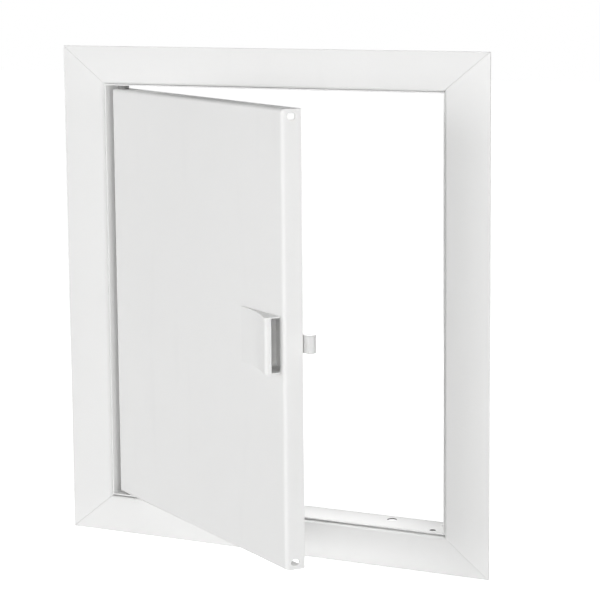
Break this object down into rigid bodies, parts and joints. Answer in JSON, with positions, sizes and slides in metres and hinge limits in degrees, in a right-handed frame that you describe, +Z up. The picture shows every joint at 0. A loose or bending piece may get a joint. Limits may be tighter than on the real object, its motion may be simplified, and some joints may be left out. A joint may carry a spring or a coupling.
{
  "type": "access panel",
  "caption": "White steel access panel with a mitred cover flange, a shallow mounting box, a pivot-hinged tray door and a sprung slide latch with a raised finger grip.",
  "frame": {"origin": "centre of the opening, on the plane where the back of the cover flange meets the ceiling or wall", "axes": "+X to the right as seen from the front, +Y into the opening, +Z up along the hinge axis"},
  "size_m": [0.25, 0.1285, 0.264],
  "materials": {
    "white_coat": "satin powder coat",
    "tongue_coat": "satin",
    "grip_plastic": "satin",
    "inner_plastic": "matte",
    "nylon": "matte grey",
    "zinc_steel": "bright zinc plate",
    "spring_steel": "drawn wire"
  },
  "bodies": {
    "frame": {"flange_top": "white_coat", "flange_bottom": "white_coat", "flange_left": "white_coat", "flange_right": "white_coat", "head": "white_coat", "sill": "white_coat", "hinge_jamb": "white_coat", "latch_jamb": "white_coat", "corner_rivets": "white_coat", "hinge_pin_top": "zinc_steel", "hinge_pin_bottom": "zinc_steel"},
    "door": {"door_panel": "white_coat", "hinge_bush_top": "nylon", "hinge_bush_bottom": "nylon", "latch_housing": "inner_plastic", "housing_nuts": "zinc_steel", "latch_spring": "spring_steel"},
    "latch": {"finger_grip": "grip_plastic", "latch_slider": "inner_plastic", "latch_tongue": "tongue_coat", "latch_screws": "zinc_steel"}
  },
  "joints": [
    {"name": "door_swing", "type": "hinge", "parent": "frame", "child": "door", "pos_m": [-0.0911, 0.005, 0], "axis": [0, 0, -1], "range_deg": [-32.8, 77.2]},
    {"name": "latch_slide", "type": "slide", "parent": "door", "child": "latch", "axis": [-0.8406, 0.5417, 0], "range_m": [0, 0.004], "stiffness_N_per_m": 600, "springref_m": -0.005, "deforming": ["latch_spring"]}
  ]
}
